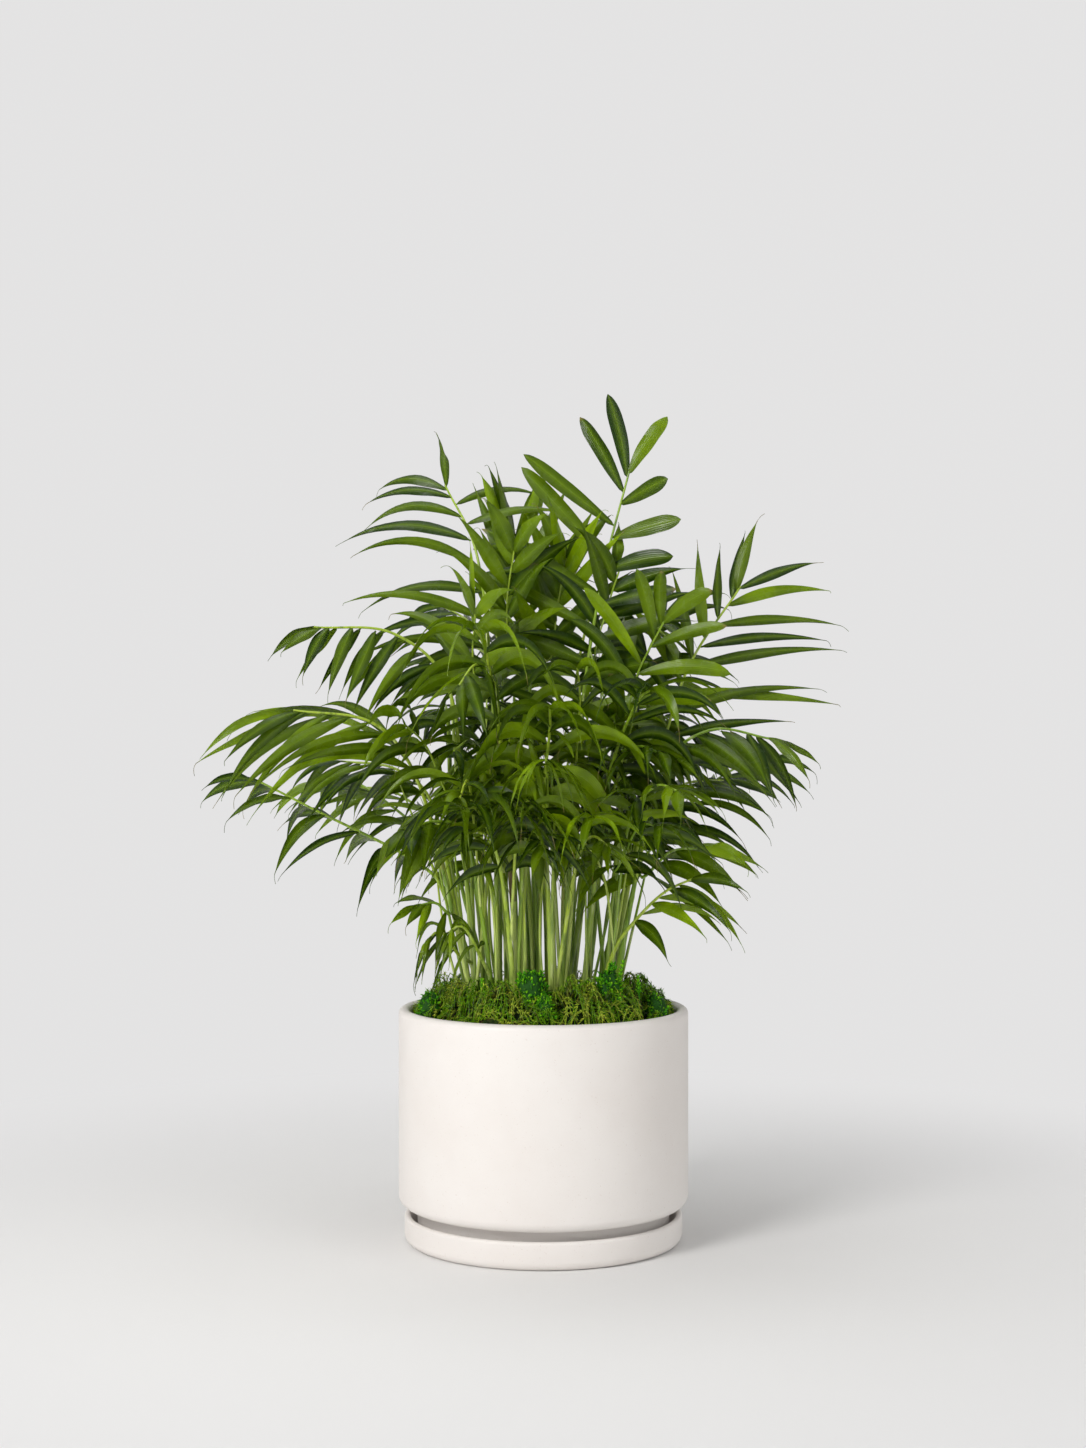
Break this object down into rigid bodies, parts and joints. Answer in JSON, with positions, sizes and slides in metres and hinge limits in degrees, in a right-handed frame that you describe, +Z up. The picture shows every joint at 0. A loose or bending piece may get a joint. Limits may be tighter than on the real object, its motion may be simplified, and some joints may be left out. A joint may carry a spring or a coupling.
{
  "type": "potted parlor palm",
  "caption": "Clump of slender parlor palms with arching feathery fronds and moss over the soil, in a straight matt off-white ceramic pot that stands in a shallow saucer.",
  "frame": {"origin": "middle of the saucer's underside, on the surface that the plant stands on", "axes": "+Z up along the pot's axis, -Y towards the side that the picture shows, +X to the right in that view"},
  "size_m": [0.4445, 0.3777, 0.5809],
  "materials": {
    "ceramic": "matte",
    "palm": "satin",
    "moss": "matte",
    "bright_moss": "matte",
    "soil": "matte"
  },
  "bodies": {
    "root": {"moss": "moss", "moss_tuft_front": "bright_moss", "moss_tuft_right": "bright_moss", "palm_back_01": "palm", "palm_back_02": "palm", "palm_back_03": "palm", "palm_back_04": "palm", "palm_back_05": "palm", "palm_back_06": "palm", "palm_back_07": "palm", "palm_back_08": "palm", "palm_back_09": "palm", "palm_back_10": "palm", "palm_back_11": "palm", "palm_back_12": "palm", "palm_front": "palm", "palm_front_left": "palm", "palm_left": "palm", "palm_left_behind": "palm", "palm_left_high": "palm", "palm_left_low": "palm", "palm_middle_left": "palm", "palm_middle_right": "palm", "palm_middle_top": "palm", "palm_right": "palm", "palm_right_arch": "palm", "palm_right_behind": "palm", "palm_right_low": "palm", "palm_right_upper": "palm", "palm_tall_right": "palm", "palm_top_left": "palm", "pot": "ceramic", "saucer": "ceramic", "soil": "soil"}
  },
  "joints": []
}
